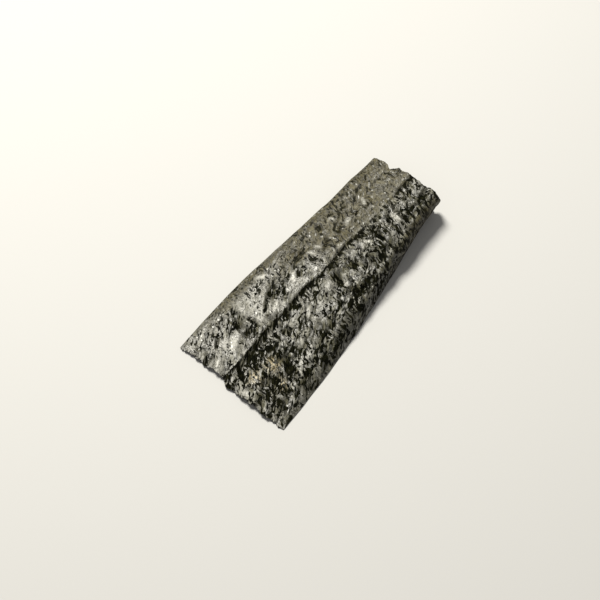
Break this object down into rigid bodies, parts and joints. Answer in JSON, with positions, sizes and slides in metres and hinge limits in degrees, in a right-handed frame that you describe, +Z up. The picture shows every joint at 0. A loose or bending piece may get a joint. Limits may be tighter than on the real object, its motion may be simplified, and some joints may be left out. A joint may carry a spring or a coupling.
{
  "type": "dried nori strip",
  "caption": "Thin crisp strip of dried seaweed, cockled and torn at both ends, with its long sides curled down so that it stands as a low arch.",
  "frame": {"origin": "centre of the strip's bounding box, on the plane that its two long edges rest on", "axes": "+X along the strip from its wide, flat end to its narrow, curled end; +Y across it; +Z up"},
  "size_m": [0.0968, 0.045, 0.0109],
  "materials": {
    "nori": "crinkled black-green dried seaweed with an uneven satin gloss"
  },
  "bodies": {
    "root": {"nori_strip": "nori"}
  },
  "joints": []
}
